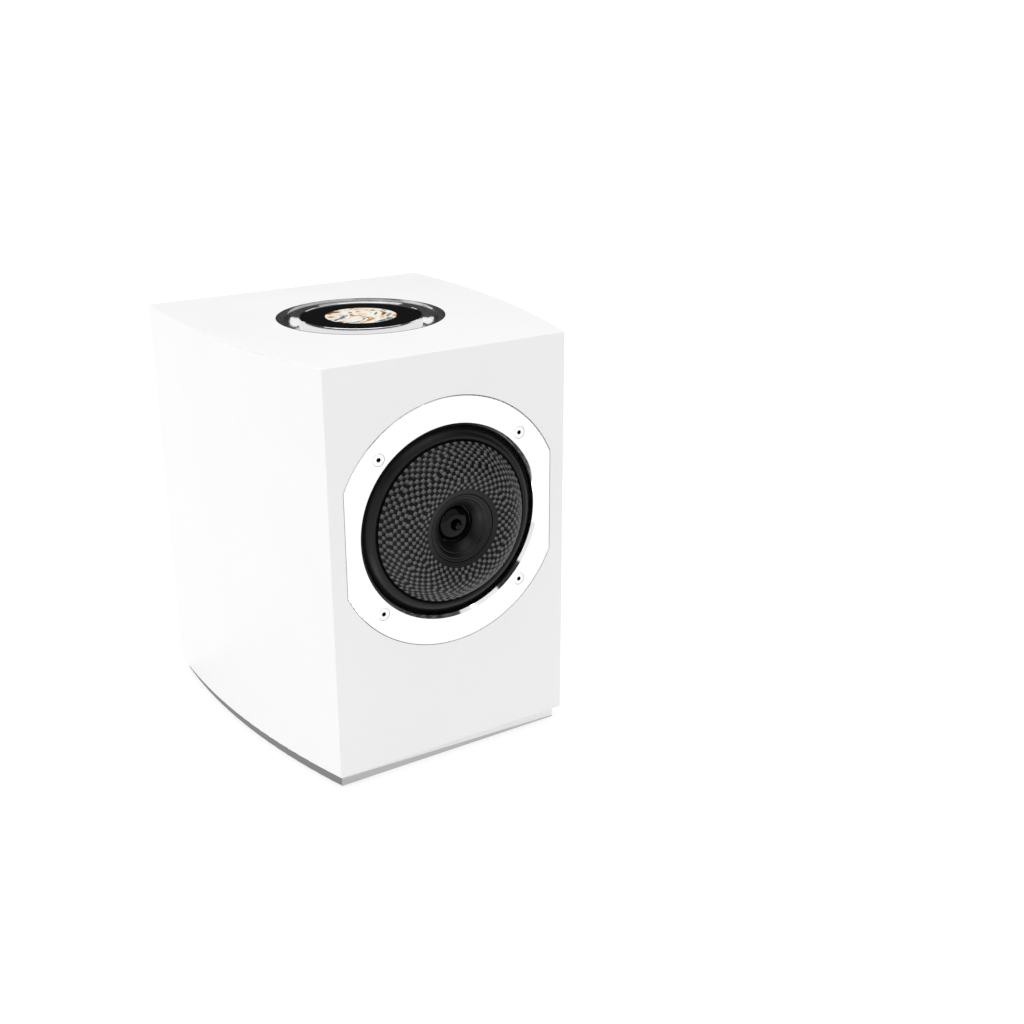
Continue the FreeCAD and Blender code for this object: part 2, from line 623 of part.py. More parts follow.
def rear_panel():
    face = PLATE_Y
    inside = PLATE_Y - PLATE_WALL
    gap = 0.2
    half = RECESS_WIDTH / 2 - gap
    plate = box(-half, inside, RECESS_BOTTOM + gap, half, face, RECESS_TOP - gap)
    holes = [rod_y(1.7, x, z, inside - 1, face + 1) for x, z in plate_screw_places()]
    holes.append(box(INLET_X - 13.7, inside - 1, INLET_Z - 10.2, INLET_X + 13.7, face + 1, INLET_Z + 10.2))
    holes.append(box(SWITCH_X - 6.7, inside - 1, INLET_Z - 10.2, SWITCH_X + 6.7, face + 1, INLET_Z + 10.2))
    holes.append(box(NETWORK_X - 8.2, inside - 1, SOCKET_LOW_Z - 7.2, NETWORK_X + 8.2, face + 1,
                     SOCKET_LOW_Z + 7.2))
    holes.append(box(USB_X - 7.2, inside - 1, SOCKET_HIGH_Z - 4.2, USB_X + 7.2, face + 1,
                     SOCKET_HIGH_Z + 4.2))
    holes.append(rod_y(BUTTON_RADIUS + 0.3, BUTTON_X, SOCKET_HIGH_Z, inside - 1, face + 1))
    holes += [rod_y(JACK_RADIUS + 0.15, x, z, inside - 1, face + 1) for x, z in RCA_PLACES]
    add("amplifier_plate", cut(plate, *holes))
    add("plate_screws", *[fuse(rod_y(PLATE_SCREW_HEAD, x, z, face, face + 1.8),
                               rod_y(PLATE_SCREW_SHANK, x, z, face - 8.5, face))
                          for x, z in plate_screw_places()])

    fin_base = 2.5
    fin_wall = 1.8
    fins = 15
    sink_z0 = 108.0
    sink_z1 = RECESS_TOP - 10
    sink_half = 66.0
    sink = box(-sink_half, face, sink_z0, sink_half, face + fin_base, sink_z1)
    pitch = (2 * sink_half - fin_wall) / (fins - 1)
    rows = [box(-sink_half + k * pitch, face + fin_base, sink_z0, -sink_half + k * pitch + fin_wall,
                face + RECESS_DEPTH - 1, sink_z1) for k in range(fins)]
    add("heat_sink", fuse(sink, *rows))


def inlet_and_switch():
    face = PLATE_Y
    depth = 20.0
    shell = box(INLET_X - 15.5, face, INLET_Z - 12, INLET_X + 15.5, face + 2, INLET_Z + 12)
    shell = fuse(shell, box(INLET_X - 13.5, face - depth, INLET_Z - 10, INLET_X + 13.5, face, INLET_Z + 10))
    well = box(INLET_X - 12, face - 15, INLET_Z - 8.2, INLET_X + 12, face + 3, INLET_Z + 8.2)
    pins = [box(INLET_X + dx - 1, face - depth - 6, INLET_Z + dz - 2.5, INLET_X + dx + 1, face - 2,
                INLET_Z + dz + 2.5) for dx, dz in ((-7, -1.5), (0, 2.0), (7, -1.5))]
    add("mains_inlet", cut(shell, well, *pins))
    add("inlet_pins", *pins)

    body = box(SWITCH_X - 8, face, INLET_Z - 12, SWITCH_X + 8, face + 1.6, INLET_Z + 12)
    body = fuse(body, box(SWITCH_X - 6.5, face - 16, INLET_Z - 10, SWITCH_X + 6.5, face, INLET_Z + 10))
    well = box(SWITCH_X - 5.5, face - 12, INLET_Z - 9, SWITCH_X + 5.5, face + 2, INLET_Z + 9)
    pin_holes = rod_x(ROCKER_PIN + BEARING_CLEARANCE, ROCKER_Y, INLET_Z, SWITCH_X - 8, SWITCH_X + 8)
    add("switch_housing", cut(body, well, pin_holes))


def rocker():
    """A rocker with two tilted faces that turns about X on two pins in its housing."""
    reach = 8.6
    high = math.radians(22 + ROCKER_THROW / 2)
    low = math.radians(22 - ROCKER_THROW / 2)
    side = [
        V(0, ROCKER_Y - 3, INLET_Z - 4),
        V(0, ROCKER_Y + reach * math.sin(low), INLET_Z - reach * math.cos(low)),
        V(0, ROCKER_Y + 2.4, INLET_Z),
        V(0, ROCKER_Y + reach * math.sin(high), INLET_Z + reach * math.cos(high)),
        V(0, ROCKER_Y - 3, INLET_Z + 4),
    ]
    body = Part.Face(Part.makePolygon(side + side[:1]))
    body.translate(V(SWITCH_X - 5.1, 0, 0))
    body = body.extrude(V(10.2, 0, 0))
    add("power_rocker", fuse(body, rod_x(ROCKER_PIN, ROCKER_Y, INLET_Z, SWITCH_X - 6.3, SWITCH_X + 6.3)))


def sockets():
    face = PLATE_Y
    network = box(NETWORK_X - 8, face - 18, SOCKET_LOW_Z - 7, NETWORK_X + 8, face + 0.4, SOCKET_LOW_Z + 7)
    network = cut(network, box(NETWORK_X - 6, face - 14, SOCKET_LOW_Z - 4.5, NETWORK_X + 6, face + 1,
                               SOCKET_LOW_Z + 4.5))
    add("network_socket", network)
    usb = frame_y(USB_X - 7, SOCKET_HIGH_Z - 4, USB_X + 7, SOCKET_HIGH_Z + 4, 0.7, face - 14, face + 0.4)
    usb = fuse(usb, box(USB_X - 7, face - 14.7, SOCKET_HIGH_Z - 4, USB_X + 7, face - 14, SOCKET_HIGH_Z + 4))
    tongue = box(USB_X - 5.6, face - 14, SOCKET_HIGH_Z + 0.6, USB_X + 5.6, face - 1, SOCKET_HIGH_Z + 2.4)
    add("usb_socket", usb, tongue)
    jacks = []
    centre_bore = 1.8
    for x, z in RCA_PLACES:
        sleeve = ring_y(JACK_RADIUS, centre_bore, z, face - 4, face + JACK_PROUD, x)
        flange = ring_y(6.0, centre_bore, z, face, face + 1.2, x)
        jacks.append(fuse(sleeve, flange, rod_y(JACK_RADIUS, x, z, face - 10, face - 4)))
    add("line_input_jacks", *jacks)
    stem = rod_y(1.5, BUTTON_X, SOCKET_HIGH_Z, face - 9, face - 5)
    cap = rod_y(BUTTON_RADIUS, BUTTON_X, SOCKET_HIGH_Z, face - 5, face + 1.6)
    cap = cap.makeFillet(0.4, [e for e in cap.Edges if e.BoundBox.YMin > face + 1.5])
    add("pairing_button", fuse(cap, stem))


def boards():
    """Two boards stand behind the plate: the amplifier above, power supply and inputs below."""
    board_face = PLATE_Y - PLATE_WALL - UPPER_BOARD_GAP
    wall = BOARD_WALL
    upper = box(-62, board_face - wall, 106, 62, board_face, 176)
    coils = [rod_y(9, x, 124, board_face - wall - 14, board_face - wall) for x in (-40, -14)]
    cans = [rod_y(8, x, 158, board_face - wall - 24, board_face - wall) for x in (-48, -28, -8)]
    chips = [box(x, board_face - wall - 3, 116, x + 16, board_face - wall, 140) for x in (10, 36)]
    add("amplifier_board", fuse(upper, *coils, *cans, *chips))
    lower_face = PLATE_Y - 26
    lower = box(-66, lower_face - wall, 42, 66, lower_face, 100)
    transformer = box(-50, lower_face - wall - 24, 50, -16, lower_face - wall, 82)
    store = [rod_y(9, x, 66, lower_face - wall - 30, lower_face - wall) for x in (6, 28)]
    lower = fuse(lower, transformer, *store)
    add("power_supply_board", lower)
    inside = PLATE_Y - PLATE_WALL
    posts = [rod_y(3, x, z, board_face, inside) for x in (-58, 58) for z in (110, 172)]
    posts += [rod_y(3, x, z, lower_face, inside) for x, z in ((-62, 96), (62, 96), (-29.5, 46), (38, 46))]
    add("board_standoffs", *posts)


def rounded_path(points, bend):
    """Straight runs joined by arcs that touch them, each of one bend radius."""
    edges = []
    here = points[0]
    for before, corner, after in zip(points, points[1:], points[2:]):
        into = (corner - before).normalize()
        out = (after - corner).normalize()
        turn = into.getAngle(out)
        reach = bend * math.tan(turn / 2)
        start = corner - into * reach
        end = corner + out * reach
        inward = (out - into).normalize()
        middle = corner + inward * (bend / math.cos(turn / 2) - bend)
        edges.append(Part.LineSegment(here, start).toShape())
        edges.append(Part.Arc(start, middle, end).toShape())
        here = end
    edges.append(Part.LineSegment(here, points[-1]).toShape())
    return Part.Wire(edges)


def driver_leads():
    """Two insulated wires from the amplifier to the driver's terminal strip, through the brace's window."""
    bend = 12.0
    pair_spacing = 10.0
    board_front = PLATE_Y - PLATE_WALL - UPPER_BOARD_GAP - BOARD_WALL
    leads = []
    for dz in (-pair_spacing / 2, pair_spacing / 2):
        route = [
            V(56, board_front, 147 + dz),
            V(56, 76, 147 + dz),
            V(64, 44, 160 + dz),
            V(64, -10, DRIVER_Z - 4 + dz),
            V(64, TERMINAL_Y + 36, DRIVER_Z + dz),
            V(64, TERMINAL_Y + 7, DRIVER_Z + dz),
        ]
        path = rounded_path(route, bend)
        section = Part.Wire(Part.makeCircle(LEAD_RADIUS, route[0], Y_AXIS))
        lead = path.makePipeShell([section], True, False)
        print("lead volume / (section x length)", lead.Volume / (math.pi * LEAD_RADIUS**2 * path.Length))
        leads.append(lead)
    add("driver_leads", *leads)


def port():
    """A round reflex tube with a flared mouth in the rear wall."""
    inner = PORT_RADIUS
    outer = PORT_RADIUS + PORT_WALL
    mouth = 10.0
    lip = 2.0
    profile = [(inner, -PORT_LENGTH), (outer, -PORT_LENGTH), (outer, -PORT_LIP), (PORT_FLARE, -PORT_LIP),
               (PORT_FLARE, 0.0), (PORT_FLARE - lip, 0.0),
               (inner + mouth * 0.32, -mouth * 0.28, inner, -mouth)]
    face = outline(profile)
    face.translate(V(0, BACK, PORT_Z))
    tube = face.revolve(V(0, 0, PORT_Z), Y_AXIS, 360)
    add("reflex_port", tube)


def main():
    os.makedirs("parts", exist_ok=True)
    for old in os.listdir("parts"):
        if old.endswith(".step"):
            os.remove(os.path.join("parts", old))
    cabinet_panels()
    plinth()
    wadding()
    driver_mounting()
    motor()
    membrane()
    spider()
    tweeter()
    dial()
    rear_panel()
    inlet_and_switch()
    rocker()
    sockets()
    boards()
    driver_leads()
    port()
    for name, shape in NODES.items():
        shape.exportStep(os.path.join("parts", name + ".step"))
        size = shape.BoundBox
        print(f"{name:24s} valid {shape.isValid()} solids {len(shape.Solids)}",
              f"volume {shape.Volume / 1000:9.2f} cm3",
              f"x {size.XMin:.1f}..{size.XMax:.1f} y {size.YMin:.1f}..{size.YMax:.1f}",
              f"z {size.ZMin:.1f}..{size.ZMax:.1f}")
    print(len(NODES), "nodes")


main()
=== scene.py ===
# %% [markdown]
# # An active bookshelf speaker
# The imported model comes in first. It fixes every size and place, so each new piece below reads its numbers
# from it.

# %% Load the frame
import math

import bmesh
import bpy
import numpy as np
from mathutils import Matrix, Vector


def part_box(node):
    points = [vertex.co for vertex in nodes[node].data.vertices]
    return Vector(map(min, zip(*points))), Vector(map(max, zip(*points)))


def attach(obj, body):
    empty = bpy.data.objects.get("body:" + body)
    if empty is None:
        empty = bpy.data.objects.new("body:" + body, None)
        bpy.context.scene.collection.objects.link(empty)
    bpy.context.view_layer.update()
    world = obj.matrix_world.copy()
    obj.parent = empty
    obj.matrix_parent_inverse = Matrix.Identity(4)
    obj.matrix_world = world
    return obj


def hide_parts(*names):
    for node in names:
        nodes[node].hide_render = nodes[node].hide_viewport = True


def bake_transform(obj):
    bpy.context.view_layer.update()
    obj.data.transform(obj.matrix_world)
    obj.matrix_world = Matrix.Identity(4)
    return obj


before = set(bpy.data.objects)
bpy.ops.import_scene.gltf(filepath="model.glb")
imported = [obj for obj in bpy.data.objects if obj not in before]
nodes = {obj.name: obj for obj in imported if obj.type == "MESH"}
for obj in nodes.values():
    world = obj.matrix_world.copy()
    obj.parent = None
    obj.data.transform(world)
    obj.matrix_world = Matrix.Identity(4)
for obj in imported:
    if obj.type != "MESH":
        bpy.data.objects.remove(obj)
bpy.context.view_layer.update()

# %% [markdown]
# Everything is measured from four places: the flat front of the cabinet, its top, the driver's axis and the
# dial's axis.

# %% Landmarks
MM = 0.001
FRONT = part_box("front_baffle")[0].y
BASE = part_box("front_baffle")[0].z
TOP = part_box("front_baffle")[1].z
DRIVER_Z = sum(corner.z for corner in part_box("driver_trim_ring")) / 2
DIAL_Y = sum(corner.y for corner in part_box("display_glass")) / 2
print("front", round(FRONT, 4), "top", round(TOP, 4), "driver", round(DRIVER_Z, 4), "dial", round(DIAL_Y, 4))

# %% [markdown]
# ## Camera
# A product picture is taken from the front left, a little above the cabinet. A 48 mm lens on a full frame
# keeps the upright edges nearly parallel.

# %% Camera
AZIMUTH = 0.5881
ELEVATION = 0.3463
camera_data = bpy.data.cameras.new("camera")
camera_data.sensor_width = 36.0
camera_data.lens = 47.99
camera_data.shift_x = -0.0016
camera_data.shift_y = -0.0186
camera_data.clip_end = 50.0
camera = bpy.data.objects.new("camera", camera_data)
camera.location = (-0.4594, FRONT - 0.7664, BASE + 0.5179)
camera.rotation_euler = (math.pi / 2 - ELEVATION, 0.0, -AZIMUTH)
bpy.context.collection.objects.link(camera)
bpy.context.scene.camera = camera
bpy.context.scene.view_settings.view_transform = "Standard"
print("camera at", tuple(round(v, 3) for v in camera.location))

# %% [markdown]
# ## Node helper and colour
# One helper adds a node, sets what is given and wires what is linked. Colours are written as on a paint
# card, in sRGB hex, and turned to the linear values that the renderer works in.


# %% Helpers for materials
def linear(hex_colour):
    """sRGB hex to linear RGBA: c / 12.92 near black, otherwise ((c + 0.055) / 1.055) ** 2.4."""
    channels = [int(hex_colour[i:i + 2], 16) / 255 for i in (1, 3, 5)]
    return [c / 12.92 if c <= 0.04045 else ((c + 0.055) / 1.055) ** 2.4 for c in channels] + [1.0]


def add(tree, kind, settings=None, **links):
    """Adds a node. Settings name properties or sockets; links name sockets and give a source or a value."""
    made = tree.nodes.new(kind)
    for name, value in (settings or {}).items():
        if hasattr(made, name):
            setattr(made, name, value)
        else:
            made.inputs[name].default_value = value
    for name, source in links.items():
        socket = made.inputs[int(name[1:])] if name[0] == "i" and name[1:].isdigit() else made.inputs[name]
        if isinstance(source, bpy.types.NodeSocket):
            tree.links.new(source, socket)
        else:
            socket.default_value = source
    return made


def new_material(name):
    """An empty node material with its output and one Principled shader."""
    material = bpy.data.materials.new(name)
    material.use_nodes = True
    tree = material.node_tree
    tree.nodes.clear()
    shader = tree.nodes.new("ShaderNodeBsdfPrincipled")
    output = tree.nodes.new("ShaderNodeOutputMaterial")
    tree.links.new(shader.outputs["BSDF"], output.inputs["Surface"])
    return material, tree, shader


print("white lacquer in linear light", [round(c, 3) for c in linear("#f4f4f2")])

# %% [markdown]
# ## A family of plain finishes
# Most parts are moulded, cast, turned or plated, and what tells them apart is colour, gloss and a fine
# grain. The grain is a noise whose size is given in millimetres: it shifts the colour a little, the
# roughness more, and lifts the surface by a few hundredths of a millimetre. Stretching the noise along one
# axis makes it a brushed or a turned finish.


# %% Plain finishes
def grained(name, dark, light, metallic, roughness, grain_mm, relief_mm=0.01, stretch=(1, 1, 1), spread=0.08,
            **sockets):
    """Noise of one grain size drives the colour from dark to light, the roughness by a spread, and a bump."""
    material, tree, shader = new_material(name)
    place = add(tree, "ShaderNodeTexCoord").outputs["Object"]
    stretched = add(tree, "ShaderNodeMapping", {"Scale": stretch}, Vector=place).outputs["Vector"]
    noise = add(tree, "ShaderNodeTexNoise", {"Scale": 1000.0 / grain_mm, "Detail": 4.0, "Roughness": 0.6},
                Vector=stretched).outputs["Fac"]
    colour = add(tree, "ShaderNodeMix", {"data_type": "RGBA"}, Factor=noise)
    colour.inputs[6].default_value = linear(dark)
    colour.inputs[7].default_value = linear(light)
    gloss = add(tree, "ShaderNodeMapRange", {"To Min": roughness - spread, "To Max": roughness + spread},
                Value=noise)
    bump = add(tree, "ShaderNodeBump", {"Distance": relief_mm * MM, "Strength": 1.0}, Height=noise)
    tree.links.new(colour.outputs[2], shader.inputs["Base Color"])
    tree.links.new(gloss.outputs["Result"], shader.inputs["Roughness"])
    tree.links.new(bump.outputs["Normal"], shader.inputs["Normal"])
    shader.inputs["Metallic"].default_value = metallic
    for socket, value in sockets.items():
        shader.inputs[socket.replace("_", " ")].default_value = value
    return material


turned_z = (1, 1, 0.04)
finishes = {
    "butyl_rubber": grained("butyl_rubber", "#0b0b0c", "#131314", 0.0, 0.36, 0.5, 0.004,
                            Specular_IOR_Level=0.24),
    "blackened_steel": grained("blackened_steel", "#101011", "#1a1a1b", 1.0, 0.38, 0.8, 0.01),
    "zinc_plated_steel": grained("zinc_plated_steel", "#a8a9ab", "#c2c3c5", 1.0, 0.26, 0.6, 0.008),
    "turned_brass": grained("turned_brass", "#a98a4c", "#c9a866", 1.0, 0.24, 0.7, 0.006, turned_z),
    "die_cast_black": grained("die_cast_black", "#0f0f10", "#1b1b1c", 0.0, 0.5, 0.9, 0.03),
    "ferrite_ceramic": grained("ferrite_ceramic", "#242425", "#343437", 0.3, 0.55, 1.2, 0.03),
    "aluminium_sheet": grained("aluminium_sheet", "#b9babc", "#d0d1d3", 1.0, 0.3, 0.5, 0.004, (0.05, 1, 1)),
    "enamelled_copper": grained("enamelled_copper", "#8a4526", "#b1633a", 1.0, 0.3, 0.3, 0.05,
                                (0.02, 4, 0.02)),
    "acetal": grained("acetal", "#dedcd4", "#ebe9e2", 0.0, 0.35, 1.5, 0.004),
    "closed_cell_foam": grained("closed_cell_foam", "#1a1a1b", "#2c2c2e", 0.0, 0.85, 0.6, 0.15, spread=0.05),
    "moulded_abs_black": grained("moulded_abs_black", "#121213", "#1a1a1b", 0.0, 0.42, 0.35, 0.012,
                                 Specular_IOR_Level=0.35),
    "horn_abs_black": grained("horn_abs_black", "#060607", "#0b0b0c", 0.0, 0.4, 0.35, 0.006,
                              Specular_IOR_Level=0.3),
    "gloss_polymer_black": grained("gloss_polymer_black", "#020203", "#040405", 0.0, 0.06, 2.0, 0.0004,
                                   spread=0.02, Specular_IOR_Level=0.18),
    "black_anodised_aluminium": grained("black_anodised_aluminium", "#161617", "#232325", 0.7, 0.36, 0.5,
                                        0.01, (1, 1, 0.03)),
    "gold_plated_contact": grained("gold_plated_contact", "#c39a4a", "#dfb965", 1.0, 0.2, 0.8, 0.004),
    "raw_fibreboard": grained("raw_fibreboard", "#8d7254", "#b39671", 0.0, 0.8, 1.4, 0.06, spread=0.06),
    "silicone_wire": grained("silicone_wire", "#7c1512", "#94201b", 0.0, 0.5, 1.0, 0.01),
    "damping_felt": grained("damping_felt", "#5e5e61", "#8a8a8d", 0.0, 0.92, 1.1, 0.4, (1, 1, 0.25),
                            spread=0.04, Sheen_Weight=0.4),
    "resin_cloth": grained("resin_cloth", "#9a7430", "#c39a4c", 0.0, 0.7, 0.5, 0.08, spread=0.06),
}
print(len(finishes), "plain finishes")

# %% [markdown]
# ## White lacquer
# The cabinet is fibreboard under a sprayed white polyurethane lacquer, flatted to a satin. It scatters
# nearly all of the light and reflects very little, so its tone comes from where each panel faces. Sprayed
# lacquer keeps a faint orange peel, low waves about 2 mm across, and its white drifts a little over a
# hand's width.

# %% Lacquer
lacquer, tree, shader = new_material("polyurethane_lacquer_white")
place = add(tree, "ShaderNodeTexCoord").outputs["Object"]
peel = add(tree, "ShaderNodeTexNoise", {"Scale": 1000.0 / 2.2, "Detail": 1.0}, Vector=place).outputs["Fac"]
mottle = add(tree, "ShaderNodeTexNoise", {"Scale": 1000.0 / 60.0, "Detail": 2.0}, Vector=place).outputs["Fac"]
tint = add(tree, "ShaderNodeMix", {"data_type": "RGBA"}, Factor=mottle)
tint.inputs[6].default_value = linear("#f3f3f3")
tint.inputs[7].default_value = linear("#f6f6f6")
wave = add(tree, "ShaderNodeBump", {"Distance": 0.004 * MM, "Strength": 1.0}, Height=peel)
gloss = add(tree, "ShaderNodeMapRange", {"To Min": 0.34, "To Max": 0.4}, Value=mottle)
tree.links.new(tint.outputs[2], shader.inputs["Base Color"])
tree.links.new(gloss.outputs["Result"], shader.inputs["Roughness"])
tree.links.new(wave.outputs["Normal"], shader.inputs["Normal"])
shader.inputs["Specular IOR Level"].default_value = 0.06
print("lacquer ready")

# %% [markdown]
# ## Polished metals
# The driver's ring, the volume ring and its bezel are turned aluminium, polished until they mirror the
# room. Turning leaves rings about the axis, so the grain is a noise read along the distance from that axis:
# it tells the eye that the part was made on a lathe. The plinth is a ground plate instead, with its grain
# along the edge.


# %% Turned and ground metals
def turned_metal(name, dark, light, axis, centre, roughness, pitch_mm, relief_mm, spread=0.03):
    """Noise over the distance from an axis, so all marks are circles."""
    material, tree, shader = new_material(name)
    place = add(tree, "ShaderNodeTexCoord").outputs["Object"]
    moved = add(tree, "ShaderNodeMapping", {"Location": [-c for c in centre]}, Vector=place).outputs["Vector"]
    across = tuple(0.0 if letter == axis else 1.0 for letter in "xyz")
    flat = add(tree, "ShaderNodeVectorMath", {"operation": "MULTIPLY"}, i0=moved, i1=across).outputs["Vector"]
    along = add(tree, "ShaderNodeVectorMath", {"operation": "DOT_PRODUCT"}, i0=moved,
                i1=tuple(1.0 - a for a in across)).outputs["Value"]
    radius = add(tree, "ShaderNodeVectorMath", {"operation": "LENGTH"}, i0=flat).outputs["Value"]
    lathe = add(tree, "ShaderNodeCombineXYZ", X=radius, Y=along).outputs["Vector"]
    marks = add(tree, "ShaderNodeTexNoise", {"Scale": 1000.0 / pitch_mm, "Detail": 3.0},
                Vector=lathe).outputs["Fac"]
    colour = add(tree, "ShaderNodeMix", {"data_type": "RGBA"}, Factor=marks)
    colour.inputs[6].default_value = linear(dark)
    colour.inputs[7].default_value = linear(light)
    gloss = add(tree, "ShaderNodeMapRange", {"To Min": roughness - spread, "To Max": roughness + spread},
                Value=marks)
    bump = add(tree, "ShaderNodeBump", {"Distance": relief_mm * MM, "Strength": 1.0}, Height=marks)
    tree.links.new(colour.outputs[2], shader.inputs["Base Color"])
    tree.links.new(gloss.outputs["Result"], shader.inputs["Roughness"])
    tree.links.new(bump.outputs["Normal"], shader.inputs["Normal"])
    shader.inputs["Metallic"].default_value = 1.0
    return material


def screw_steel(name, dark, light):
    """Polished on the face; the socket and the edge are painted black as shade, by a ramp over the depth."""
    material, tree, shader = new_material(name)
    place = add(tree, "ShaderNodeTexCoord").outputs["Object"]
    depth = add(tree, "ShaderNodeSeparateXYZ", Vector=place).outputs["Y"]
    # Painted shade: the tone turns black below the face, in the socket and round the head.
    painted_socket_shade = add(tree, "ShaderNodeMapRange", {"From Min": FRONT + 0.3 * MM, "From Max": FRONT + 0.7 * MM},
               Value=depth).outputs["Result"]
    marks = add(tree, "ShaderNodeTexNoise", {"Scale": 1000.0 / 0.6, "Detail": 2.0},
                Vector=place).outputs["Fac"]
    gloss = add(tree, "ShaderNodeMapRange", {"To Min": 0.08, "To Max": 0.16}, Value=marks)
    colour = add(tree, "ShaderNodeMix", {"data_type": "RGBA"}, Factor=painted_socket_shade)
    colour.inputs[6].default_value = linear(light)
    colour.inputs[7].default_value = linear(dark)
    tree.links.new(colour.outputs[2], shader.inputs["Base Color"])
    tree.links.new(gloss.outputs["Result"], shader.inputs["Roughness"])
    shader.inputs["Metallic"].default_value = 1.0
    return material


# The dark colour is painted shade for the sockets and round the screw heads.
finishes["polished_screw_steel"] = screw_steel("polished_screw_steel", "#0a0a0a", "#f4f4f4")
driver_axis = (0.0, FRONT, DRIVER_Z)
dial_axis = (0.0, DIAL_Y, TOP)
finishes["polished_ring_aluminium"] = turned_metal(
    "polished_ring_aluminium", "#f4f4f4", "#fbfbfb", "y", driver_axis, 0.07, 0.5, 0.0004)
finishes["polished_dial_metal"] = turned_metal(
    "polished_dial_metal", "#ececed", "#f8f8f9", "z", dial_axis, 0.09, 0.35, 0.0008)
finishes["spun_trough_metal"] = turned_metal(
    "spun_trough_metal", "#e6e6e7", "#f4f4f5", "z", dial_axis, 0.12, 0.5, 0.001)
finishes["ground_plinth_metal"] = grained(
    "ground_plinth_metal", "#d6d6d7", "#ececec", 1.0, 0.12, 0.6, 0.001, (0.03, 0.03, 1), spread=0.04)
print("polished metals ready")

# %% [markdown]
# ## Grids and lathe shapes
# A turned part is a profile carried round an axis. The profile is an array of radii and depths, the angles
# are another array, and their product is the whole grid of points at once. Rows and columns that close are
# joined by wrapping the indices, so there is no seam, and points that meet on the axis are merged.


# %% Surface helpers
def grid_piece(name, points, closed_rows, closed_columns, material, attributes=None):
    """A mesh from an array of points, rows x columns x 3: each cell of the grid is one four-sided face."""
    rows, columns = points.shape[:2]
    index = np.arange(rows * columns).reshape(rows, columns)
    below = np.roll(index, -1, axis=0) if closed_rows else index[1:]
    here = index if closed_rows else index[:-1]
    if closed_columns:
        here_next, below_next = np.roll(here, -1, axis=1), np.roll(below, -1, axis=1)
    else:
        here, here_next, below, below_next = here[:, :-1], here[:, 1:], below[:, :-1], below[:, 1:]
    faces = np.stack([here, here_next, below_next, below], axis=-1).reshape(-1, 4)
    mesh = bpy.data.meshes.new(name)
    mesh.vertices.add(rows * columns)
    mesh.vertices.foreach_set("co", points.reshape(-1).astype(np.float32))
    mesh.loops.add(faces.size)
    mesh.loops.foreach_set("vertex_index", faces.reshape(-1).astype(np.int32))
    mesh.polygons.add(len(faces))
    mesh.polygons.foreach_set("loop_start", np.arange(0, faces.size, 4, dtype=np.int32))
    mesh.update(calc_edges=True)
    for label, values in (attributes or {}).items():
        attribute = mesh.attributes.new(label, "FLOAT", "POINT")
        attribute.data.foreach_set("value", values.reshape(-1).astype(np.float32))
    shell = bmesh.new()
    shell.from_mesh(mesh)
    bmesh.ops.remove_doubles(shell, verts=shell.verts, dist=1e-7)
    bmesh.ops.recalc_face_normals(shell, faces=shell.faces)
    shell.to_mesh(mesh)
    shell.free()
    mesh.polygons.foreach_set("use_smooth", np.ones(len(mesh.polygons), bool))
    mesh.materials.append(material)
    piece = bpy.data.objects.new(name, mesh)
    bpy.context.collection.objects.link(piece)
    return piece


def arc(centre, radius, start, end, steps):
    """Points on a circle in the profile's plane, from one angle to another in degrees, in millimetres."""
    turn = np.radians(np.linspace(start, end, steps))
    return np.asarray(centre) + radius * np.stack([np.cos(turn), np.sin(turn)], axis=-1)


def lathe_y(name, profile, segments, material, closed=True):
    """Turns a profile of (radius, depth behind the front) in millimetres about the driver's axis."""
    profile = np.asarray(profile, float) * MM
    turn = np.linspace(0, 2 * np.pi, segments, endpoint=False)
    radius, depth = profile[:, :1], profile[:, 1:]
    points = np.stack([radius * np.cos(turn), FRONT + depth + 0 * turn, DRIVER_Z + radius * np.sin(turn)],
                      axis=-1)
    return grid_piece(name, points, closed, True, material)


print("surface helpers ready")

# %% [markdown]
# ## The woven membrane
# The membrane is a ring of fibre cloth with resin, pressed into a low dome: it rises from its inner edge to
# a crest and falls steeply to the surround. Its tows run round the ring and across it, over and under each
# other, and more cross tows start at certain radii so that the cells stay between 2 and 3 mm. The cross
# tows are painted much lighter than the round tows, a painted sheen for the light they catch. A texture
# alone would look printed at the steep edges, so the tows are real relief: every cell is a small pillow.
# Each cell's tone is painted shade as well: darker towards its edge and lighter on its upper left side, as
# if lit from above at the left.

# %% Membrane shape
MEMBRANE_INNER, MEMBRANE_OUTER = 28.5, 58.8
RISE = (14.8, 14.8, -25.5, -4.1)
WALL = 0.8
BANDS = ((3, 76), (4, 88), (4, 104), (3, 122))
RELIEF_CROSS, RELIEF_ROUND = 0.85, 0.35
# CELL_EDGE sets how far a cell's painted edge shade reaches; LIGHT_SIDE is the direction of the painted
# light, left and up; the SHADE numbers set how dark and how light the painted shade goes.
CELL_EDGE = 0.12
LIGHT_SIDE = (0.5, 0.85)
SHADE_MIDDLE, SHADE_SLOPE, SHADE_PEAK = 0.72, 1.1, 1.25


def membrane_height(s):
    """Height in front of the baffle: a cubic in s, which runs from 0 at the inner edge to 1 at the outer."""
    return RISE[0] + RISE[1] * s + RISE[2] * s ** 2 + RISE[3] * s ** 3


def arc_spaced(count):
    """Values of s whose points are equally far apart along the curve, and the curve's length."""
    s = np.linspace(0, 1, 4001)
    radius = MEMBRANE_INNER + (MEMBRANE_OUTER - MEMBRANE_INNER) * s
    travelled = np.concatenate([[0], np.cumsum(np.hypot(np.diff(radius), np.diff(membrane_height(s))))])
    return np.interp(np.linspace(0, travelled[-1], count), travelled, s), travelled[-1]


